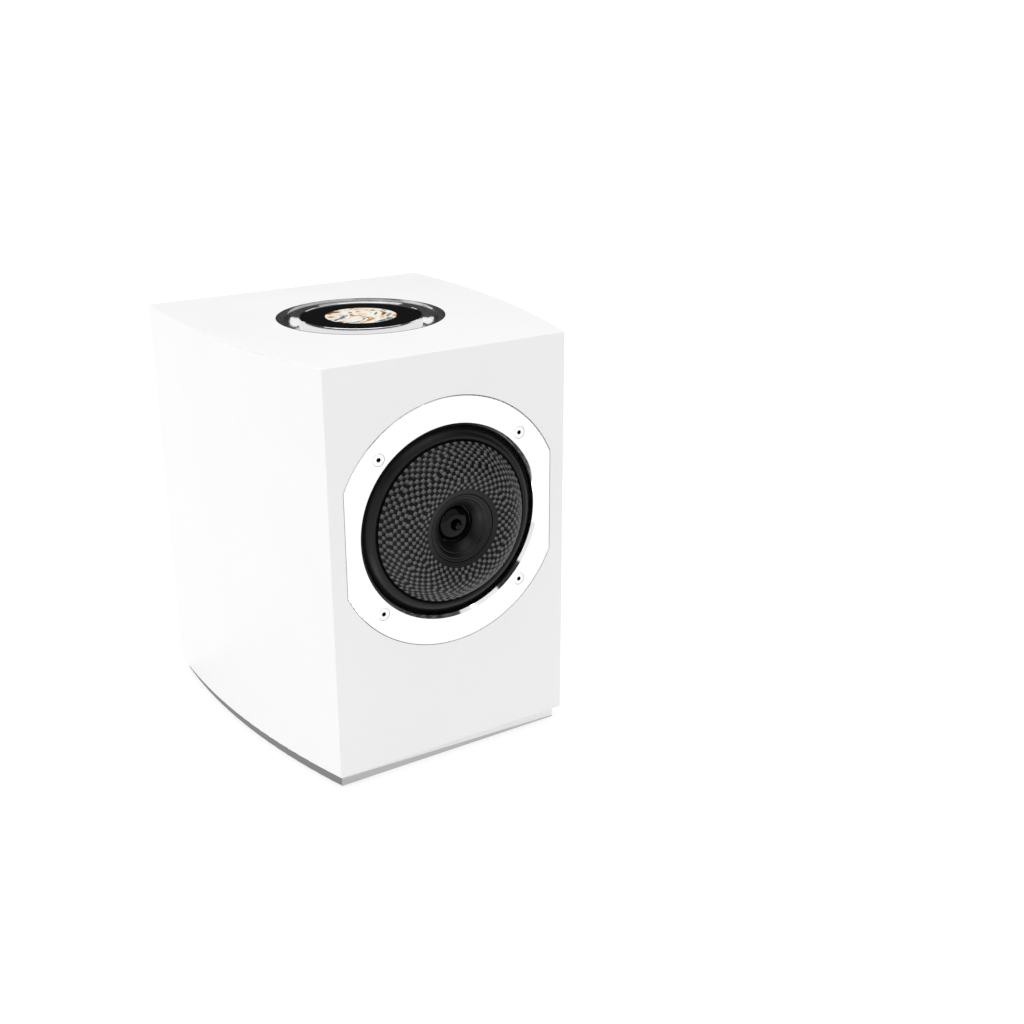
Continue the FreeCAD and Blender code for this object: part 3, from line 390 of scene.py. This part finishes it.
def weave(ring, turn):
    """Height in millimetres, whether a cross tow is on top, and the cell's shade.

    u and v run from -0.5 to 0.5 over a cell. A pillow is cos(pi u) to a small power along the tow, and
    falls off with a high power of v across it. The shade is painted: it darkens towards the cell's edge and
    is painted lighter on the cell's upper left side, a light direction baked into the colour.
    """
    counts = np.repeat([cells for _, cells in BANDS], [rings for rings, _ in BANDS])
    row = np.clip(np.floor(ring).astype(int), 0, len(counts) - 1)
    along = turn * counts[row] / (2 * np.pi)
    column = np.floor(along).astype(int)
    u, v = ring - row - 0.5, along - column - 0.5
    cross = (row + column) % 2 == 0
    length, width = np.where(cross, u, v), np.where(cross, v, u)
    pillow = np.cos(np.pi * length * 0.94) ** 0.35 * (1 - (2 * np.abs(width) * 0.96) ** 8)
    # Painted shade: darker towards the cell's edge and lighter towards the upper left, a light direction
    # baked into the tone.
    inside = np.clip((0.5 - np.maximum(np.abs(u), np.abs(v))) / CELL_EDGE, 0, 1)
    left, up = LIGHT_SIDE
    painted_light_slope = u * (up * np.sin(turn) - left * np.cos(turn)) + v * (up * np.cos(turn) + left * np.sin(turn))
    inside = inside * np.clip(SHADE_MIDDLE + SHADE_SLOPE * painted_light_slope, 0, SHADE_PEAK)
    return np.where(cross, RELIEF_CROSS, RELIEF_ROUND) * pillow, cross.astype(float), inside


rings = sum(count for count, _ in BANDS)
front_s, cloth_width = arc_spaced(rings * 8 + 1)
print("cloth across the ring", round(cloth_width, 1), "mm, cells", round(cloth_width / rings, 2), "mm")

# %% Membrane mesh
segments = 820
turn = np.linspace(0, 2 * np.pi, segments, endpoint=False)
radius = MEMBRANE_INNER + (MEMBRANE_OUTER - MEMBRANE_INNER) * front_s
height = membrane_height(front_s)
slope_r, slope_h = np.gradient(radius), np.gradient(height)
size = np.hypot(slope_r, slope_h)
out_r, out_h = -slope_h / size, slope_r / size
ring_number = np.linspace(0, rings, len(front_s))
lift, top_tow, painted_shading = weave(ring_number[:, None] + 0 * turn, turn + 0 * ring_number[:, None])
fade = np.clip(np.minimum(ring_number, rings - ring_number) / 0.5, 0, 1)[:, None]
lift = (lift - RELIEF_CROSS) * fade
front_r = radius[:, None] + out_r[:, None] * lift
front_h = height[:, None] + out_h[:, None] * lift
rear_r = np.array([MEMBRANE_OUTER - 0.4, 50.0, 40.0, MEMBRANE_INNER + 0.1])
rear_h = membrane_height((rear_r - MEMBRANE_INNER) / (MEMBRANE_OUTER - MEMBRANE_INNER)) - WALL
all_r = np.vstack([front_r, rear_r[:, None] + 0 * turn]) * MM
all_h = np.vstack([front_h, rear_h[:, None] + 0 * turn]) * MM
grid = np.stack([all_r * np.cos(turn), FRONT - all_h, DRIVER_Z + all_r * np.sin(turn)], axis=-1)
blank = np.zeros((len(rear_r), segments))
shades = {"cross_tow": np.vstack([top_tow, blank]), "painted_cell_shade": np.vstack([painted_shading, blank])}

# %% Membrane finish
weave_finish, tree, shader = new_material("resin_coated_woven_fibre")
cross = add(tree, "ShaderNodeAttribute", {"attribute_name": "cross_tow"}).outputs["Fac"]
painted_shade = add(tree, "ShaderNodeAttribute", {"attribute_name": "painted_cell_shade"}).outputs["Fac"]
place = add(tree, "ShaderNodeTexCoord").outputs["Object"]
fibres = add(tree, "ShaderNodeTexNoise", {"Scale": 1000.0 / 0.45, "Detail": 3.0}, Vector=place).outputs["Fac"]
uneven = add(tree, "ShaderNodeTexNoise", {"Scale": 1000.0 / 5.0, "Detail": 1.0}, Vector=place).outputs["Fac"]
tow = add(tree, "ShaderNodeMix", {"data_type": "RGBA"}, Factor=cross)
# The cross tow's much lighter colour is painted sheen, standing in for the light it catches.
ROUND_TOW, CROSS_TOW = "#101011", "#5e5e5f"
tow.inputs[6].default_value = linear(ROUND_TOW)
tow.inputs[7].default_value = linear(CROSS_TOW)
# Painted shade: each cell's tone is scaled down at its edge and up on its upper left side.
shade = add(tree, "ShaderNodeMapRange", {"From Max": SHADE_PEAK, "To Min": 0.3, "To Max": 1.45},
            Value=painted_shade).outputs["Result"]
streak = add(tree, "ShaderNodeMapRange", {"To Min": 0.6, "To Max": 1.4}, Value=fibres).outputs["Result"]
patch = add(tree, "ShaderNodeMapRange", {"To Min": 0.7, "To Max": 1.3}, Value=uneven).outputs["Result"]
level = add(tree, "ShaderNodeMath", {"operation": "MULTIPLY"}, i0=shade, i1=streak).outputs["Value"]
level = add(tree, "ShaderNodeMath", {"operation": "MULTIPLY"}, i0=level, i1=patch).outputs["Value"]
painted = add(tree, "ShaderNodeVectorMath", {"operation": "SCALE"}, i0=tow.outputs[2], Scale=level)
bump = add(tree, "ShaderNodeBump", {"Distance": 0.03 * MM, "Strength": 1.0}, Height=fibres)
tree.links.new(painted.outputs["Vector"], shader.inputs["Base Color"])
tree.links.new(bump.outputs["Normal"], shader.inputs["Normal"])
shader.inputs["Roughness"].default_value = 0.42
shader.inputs["Specular IOR Level"].default_value = 0.12
membrane = grid_piece("woven_membrane", grid, True, True, weave_finish, shades)
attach(membrane, "woofer_moving")
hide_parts("woofer_membrane")
print("membrane faces", len(membrane.data.polygons))

# %% [markdown]
# ## Rubber surround
# The surround is a half roll of butyl rubber between the membrane and the ring. It bends as the membrane
# moves, but here it is one still piece, its transform baked into the mesh, with no weights.

# %% Surround
def bend(piece):
    """Reads the piece's points and bakes its transform into its mesh; it sets no weights and the piece stays
    still.
    """
    where = np.empty(len(piece.data.vertices) * 3, np.float32)
    piece.data.vertices.foreach_get("co", where)
    where = where.reshape(-1, 3)
    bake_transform(piece)


outer_foot, inner_foot = np.array([69.7, 8.0]), np.array([59.3, 1.5])
roll_turn = np.linspace(0, 1, 41)[:, None]
base_line = outer_foot + (inner_foot - outer_foot) * roll_turn
ROLL_LEAN, ROLL_HEIGHT = 1.1, 4.6
bulge = np.sin(np.pi * roll_turn ** 0.9) ** 0.75 * np.array([[-ROLL_LEAN, -ROLL_HEIGHT]])
roll = base_line + bulge
lip_out = np.array([[73.8, 8.9], [73.8, 8.0]])
lip_in = np.array([[58.6, 1.3], [57.5, 1.6], [57.5, 2.5]])
inside = (roll + np.array([[0.0, 1.0]]))[::-1][1:-1]
surround_profile = np.vstack([lip_out, roll, lip_in, inside])
surround = lathe_y("rubber_surround", surround_profile, 256, finishes["butyl_rubber"])
bend(surround)
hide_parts("membrane_surround")
print("surround faces", len(surround.data.polygons))

# %% [markdown]
# ## Spider
# Behind the membrane a folded cloth disc, the spider, centres the voice coil; in the driver all the movement
# is at the coil and none at the basket's ledge. Here it is one still piece like the surround, with no
# weights.

# %% Spider
SPIDER_INNER, SPIDER_LEDGE, SPIDER_LIP = 31.5, 50.0, 55.0
SPIDER_DEPTH, FOLD, FOLDS = 40.0, 2.2, 5
fold_r = np.linspace(SPIDER_INNER, SPIDER_LEDGE, FOLDS * 16 + 1)
fold_turn = (fold_r - SPIDER_INNER) / (SPIDER_LEDGE - SPIDER_INNER) * FOLDS
fold_depth = SPIDER_DEPTH + FOLD * (0.5 - 0.5 * np.cos(2 * np.pi * fold_turn))
cloth = np.vstack([np.stack([fold_r, fold_depth], axis=1), [[SPIDER_LIP, SPIDER_DEPTH]]])
spider_profile = np.vstack([cloth[::-1], cloth + np.array([[0.0, 0.5]])])
spider = lathe_y("folded_spider", spider_profile, 128, finishes["resin_cloth"])
bend(spider)
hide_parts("spider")
print("spider faces", len(spider.data.polygons))

# %% [markdown]
# ## Waveguide, tweeter and phase tip
# The horn in the middle is moulded in black plastic. It opens in three steps, each with a fine groove that
# catches a thin line of light, and holds a gloss ring diaphragm round a small phase tip.

# %% Waveguide
def groove(radius, depth, width=0.9, deep=0.9):
    """A fine V groove turned into the horn: down, and up again, within its width."""
    return [[radius + width / 2, depth], [radius, depth + deep], [radius - width / 2, depth + 0.35]]


waveguide_profile = np.vstack([
    [[24.6, -6.0], [24.6, -13.1]], arc((24.2, -13.1), 0.4, 0, -90, 5), [[23.6, -13.4]],
    groove(22.9, -13.25), [[22.0, -12.75], [21.0, -12.1], [20.2, -11.5]], groove(19.3, -10.9),
    [[18.6, -10.2], [17.6, -9.4], [16.6, -8.35], [15.6, -7.1], [14.7, -5.9], [13.9, -4.75], [13.5, -4.2]],
    [[13.5, 1.0], [21.6, 1.0], [21.6, -6.0]],
])
waveguide = lathe_y("horn_waveguide", waveguide_profile, 192, finishes["horn_abs_black"])
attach(waveguide, "cabinet")
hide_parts("tweeter_waveguide")
print("waveguide profile points", len(waveguide_profile))

# %% [markdown]
# The diaphragm is a ring of thin gloss film, drawn here as a quarter ellipse from its edge to a crown near
# the tip.

# %% Tweeter dome
DOME_EDGE, DOME_CROWN, DOME_HOLE = 13.0, 4.4, 3.7
dome_r = np.linspace(DOME_EDGE, DOME_CROWN, 33)
dome_rise = np.sqrt(np.clip(1 - ((dome_r - DOME_CROWN) / (DOME_EDGE - DOME_CROWN)) ** 2, 0, 1))
dome_front = np.stack([dome_r, -0.6 - 4.7 * dome_rise], axis=1)
dome_profile = np.vstack([dome_front, [[DOME_HOLE, -4.8], [DOME_HOLE, -4.4], [DOME_CROWN, -4.7]],
                          dome_front[::-1][4:-1:4] + [[-0.1, 0.4]], [[DOME_EDGE, -0.2]]])
dome = lathe_y("ring_dome", dome_profile, 128, finishes["gloss_polymer_black"])
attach(dome, "tweeter_moving")
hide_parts("tweeter_dome")
print("dome profile points", len(dome_profile))

# %% [markdown]
# ## Display glass
# The dial's middle is black cover glass over a round screen. The screen shows cover art, here an abstract
# landscape of its own: warped bands of cream, sand and blue grey. It glows a little, as a lit screen does.

# %% Display
ART_RADIUS = 26.5
display, tree, shader = new_material("black_cover_glass_with_screen")
place = add(tree, "ShaderNodeTexCoord").outputs["Object"]
moved = add(tree, "ShaderNodeMapping", {"Location": (0, -DIAL_Y, -TOP)}, Vector=place).outputs["Vector"]
flat = add(tree, "ShaderNodeVectorMath", {"operation": "MULTIPLY"}, i0=moved,
           i1=(1.0, 1.0, 0.0)).outputs["Vector"]
from_centre = add(tree, "ShaderNodeVectorMath", {"operation": "LENGTH"}, i0=flat).outputs["Value"]
mask = add(tree, "ShaderNodeMapRange",
           {"From Min": (ART_RADIUS + 0.2) * MM, "From Max": (ART_RADIUS - 0.2) * MM},
           Value=from_centre).outputs["Result"]
folds = add(tree, "ShaderNodeTexNoise", {"Scale": 1000.0 / 24.0, "Detail": 4.0, "Distortion": 2.0},
            Vector=flat).outputs["Fac"]
ramp = add(tree, "ShaderNodeValToRGB", Fac=folds)
stops = ((0.0, "#14110f"), (0.34, "#30211a"), (0.375, "#b07a45"), (0.41, "#e8c08a"), (0.44, "#f6ecd8"),
         (0.51, "#fdfaf2"), (0.55, "#e6ecee"), (0.585, "#8fa5b2"), (0.61, "#1d2a35"), (0.65, "#f1dfc0"),
         (0.71, "#d9a262"))
for position, colour in stops:
    stop = ramp.color_ramp.elements.new(position) if position else ramp.color_ramp.elements[0]
    stop.color = linear(colour)
    stop.position = position
ramp.color_ramp.elements.remove(ramp.color_ramp.elements[-1])
dust = add(tree, "ShaderNodeTexNoise", {"Scale": 1000.0 / 9.0, "Detail": 2.0}, Vector=place).outputs["Fac"]
gloss = add(tree, "ShaderNodeMapRange", {"To Min": 0.02, "To Max": 0.05}, Value=dust)
glow = add(tree, "ShaderNodeMix", {"data_type": "RGBA"}, Factor=mask)
glow.inputs[6].default_value = (0, 0, 0, 1)
tree.links.new(ramp.outputs["Color"], glow.inputs[7])
shader.inputs["Base Color"].default_value = linear("#050506")
tree.links.new(glow.outputs[2], shader.inputs["Emission Color"])
tree.links.new(gloss.outputs["Result"], shader.inputs["Roughness"])
shader.inputs["Emission Strength"].default_value = 0.95
shader.inputs["Specular IOR Level"].default_value = 0.15
print("screen radius", ART_RADIUS, "mm")
finishes["black_cover_glass_with_screen"] = display
finishes["polyurethane_lacquer_white"] = lacquer

# %% [markdown]
# ## Finishes on the CAD pieces
# Every piece that keeps its own mesh takes one of the finishes, listed here by finish.

# %% Dress the carried-over pieces
worn = {
    "polyurethane_lacquer_white": "front_baffle rear_baffle left_side_panel right_side_panel top_panel "
                                  "bottom_panel",
    "raw_fibreboard": "window_brace",
    "damping_felt": "acoustic_wadding",
    "ground_plinth_metal": "plinth_plate",
    "blackened_steel": "plinth_screws tweeter_stem dial_clamp_ring dial_screws ring_retainer plate_screws",
    "butyl_rubber": "rubber_feet membrane_seal_ring",
    "polished_ring_aluminium": "driver_trim_ring",
    "die_cast_black": "driver_basket",
    "closed_cell_foam": "driver_gasket",
    "polished_screw_steel": "driver_screws",
    "zinc_plated_steel": "front_pole_plate rear_pole_piece tweeter_magnet tweeter_cup inlet_pins "
                         "usb_socket board_standoffs",
    "turned_brass": "threaded_inserts",
    "ferrite_ceramic": "ferrite_magnet encoder_magnet_ring",
    "aluminium_sheet": "voice_coil_former",
    "enamelled_copper": "voice_coil tweeter_voice_coil",
    "gloss_polymer_black": "tweeter_phase_tip",
    "moulded_abs_black": "dial_hub display_panel mains_inlet switch_housing power_rocker "
                         "pairing_button network_socket reflex_port",
    "spun_trough_metal": "dial_trough",
    "acetal": "dial_bearing",
    "polished_dial_metal": "volume_ring ring_bezel",
    "black_cover_glass_with_screen": "display_glass",
    "black_anodised_aluminium": "amplifier_plate heat_sink",
    "gold_plated_contact": "line_input_jacks",
    "silicone_wire": "driver_leads",
}
finishes["solder_masked_board"] = grained(
    "solder_masked_board", "#123d22", "#1c5a33", 0.0, 0.32, 2.4, 0.02, (1, 1, 1), spread=0.06)
worn["solder_masked_board"] = "encoder_board amplifier_board power_supply_board"
for finish, names in worn.items():
    for name in names.split():
        nodes[name].data.materials.clear()
        nodes[name].data.materials.append(finishes[finish])
dressed = {name for names in worn.values() for name in names.split()}
print("dressed", len(dressed), "and replaced", sorted(set(nodes) - dressed))

# %% [markdown]
# ## Floor and light
# The floor is a pale sweep that curves up behind the object, so that no horizon shows. The light is a soft
# white tent: a bright even surround, a little brighter above and at the left. Polished parts would look
# flat in it, so dark cards stand round the set as in a studio. Only reflections see them: they draw the
# dark edges in the metal and the glass.
# Two cards lie flat on the floor by the plinth. They are painted shade, which only the plinth's reflection
# sees, darkening it as the floor's shadow round the plinth would.

# %% Floor
sweep_profile = np.vstack([[[-2.5, 0.0], [1.2, 0.0]], arc((1.2, 1.0), 1.0, -90, 0, 24), [[2.2, 3.0]]])
span = np.linspace(-4.0, 4.0, 9)
depth_dir = np.array([math.sin(AZIMUTH), math.cos(AZIMUTH)])
side_dir = np.array([math.cos(AZIMUTH), -math.sin(AZIMUTH)])
plan = sweep_profile[:, None, :1] * depth_dir + span[None, :, None] * side_dir
sweep_points = np.concatenate([plan, sweep_profile[:, None, 1:] + 0 * span[None, :, None]], axis=-1)
sweep_finish, tree, shader = new_material("white_paper_sweep")
place = add(tree, "ShaderNodeTexCoord").outputs["Object"]
fibre = add(tree, "ShaderNodeTexNoise", {"Scale": 40.0}, Vector=place).outputs["Fac"]
tone = add(tree, "ShaderNodeMix", {"data_type": "RGBA"}, Factor=fibre)
tone.inputs[6].default_value = linear("#9c9c9c")
tone.inputs[7].default_value = linear("#9f9f9f")
tree.links.new(tone.outputs[2], shader.inputs["Base Color"])
shader.inputs["Roughness"].default_value = 0.9
shader.inputs["Specular IOR Level"].default_value = 0.0
shader.inputs["Emission Color"].default_value = (1, 1, 1, 1)
shader.inputs["Emission Strength"].default_value = 0.74
sweep = grid_piece("paper_sweep", sweep_points, False, False, sweep_finish)

# %% Light
TENT_LEVEL = 0.785
TENT_LEAN = (-0.21, 0.2, 0.24)
world = bpy.data.worlds.new("white_tent")
bpy.context.scene.world = world
world.use_nodes = True
sky = world.node_tree
sky.nodes.clear()
direction = add(sky, "ShaderNodeTexCoord").outputs["Generated"]
lean = add(sky, "ShaderNodeVectorMath", {"operation": "DOT_PRODUCT"}, i0=direction,
           i1=TENT_LEAN).outputs["Value"]
level = add(sky, "ShaderNodeMath", {"operation": "ADD"}, i0=lean, i1=TENT_LEVEL).outputs["Value"]
tent = add(sky, "ShaderNodeBackground", {"Color": (1, 1, 1, 1)}, Strength=level)
sky.links.new(tent.outputs["Background"], add(sky, "ShaderNodeOutputWorld").inputs["Surface"])


def softbox(name, place, aim, width, height, power):
    """An area lamp at place, turned to face aim."""
    lamp = bpy.data.lights.new(name, "AREA")
    lamp.shape = "RECTANGLE"
    lamp.size, lamp.size_y, lamp.energy = width, height, power
    holder = bpy.data.objects.new(name, lamp)
    holder.location = place
    away = np.array(place) - np.array(aim)
    holder.rotation_euler = (math.atan2(math.hypot(away[0], away[1]), away[2]), 0,
                             math.atan2(away[0], -away[1]))
    bpy.context.collection.objects.link(holder)
    return holder


softbox("top_softbox", (-0.3, -0.2, 1.8), (0, 0, 0.2), 1.4, 1.4, 4.3)


def upright(start, end, low, high):
    """The corners of an upright card between two places, each a depth and a distance across the view."""
    ends = [depth * depth_dir + across * side_dir for depth, across in (start, end)]
    return [(*ends[0], low), (*ends[1], low), (*ends[0], high), (*ends[1], high)]


def card(name, corners, level):
    """A card that only reflections see; its corners run along the first edge, then along the second."""
    material, tree, shader = new_material(name)
    shader.inputs["Base Color"].default_value = (0, 0, 0, 1)
    shader.inputs["Specular IOR Level"].default_value = 0.0
    shader.inputs["Emission Color"].default_value = (1, 1, 1, 1)
    shader.inputs["Emission Strength"].default_value = level
    piece = grid_piece(name, np.array(corners).reshape(2, 2, 3), False, False, material)
    piece.visible_camera = piece.visible_diffuse = piece.visible_shadow = False
    piece.visible_transmission = False
    return piece


softbox("glint_strip", (0.2, -0.7, 1.2), (0, -0.1, 0.2), 0.03, 0.3, 0.35)
card("flag_behind_camera", upright((-1.5, -1.1), (-1.5, 0.4), 0.9, 2.0), 0.03)
card("flag_behind_speaker", upright((1.1, -1.8), (1.1, 1.8), 0.15, 0.86), 0.03)
card("flag_left", upright((-0.9, -1.3), (1.1, -1.3), 0.1, 1.9), 0.06)
card("flag_right", upright((-0.5, 1.3), (1.1, 1.3), 0.1, 1.9), 0.06)
# Painted shade: these two floor cards stand in for the shadow round the plinth, seen only in its reflection.
plinth_low, plinth_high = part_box("plinth_plate")
on_floor = 0.001
card("painted_shade_beside_plinth", [(-0.45, plinth_low.y, on_floor), (-0.07, plinth_low.y, on_floor),
                            (-0.45, plinth_high.y, on_floor), (-0.07, plinth_high.y, on_floor)], 0.32)
card("painted_shade_before_plinth", [(plinth_low.x, plinth_low.y - 0.011, 0.8 * on_floor),
                            (plinth_high.x, plinth_low.y - 0.001, 0.8 * on_floor),
                            (plinth_low.x, -0.1, 0.8 * on_floor), (plinth_high.x, -0.1, 0.8 * on_floor)], 0.6)
card("glint_card", [(-0.22, -0.3, 0.002), (-0.14, -0.3, 0.002), (-0.22, -0.16, 0.002),
                    (-0.14, -0.16, 0.002)], 3.5)
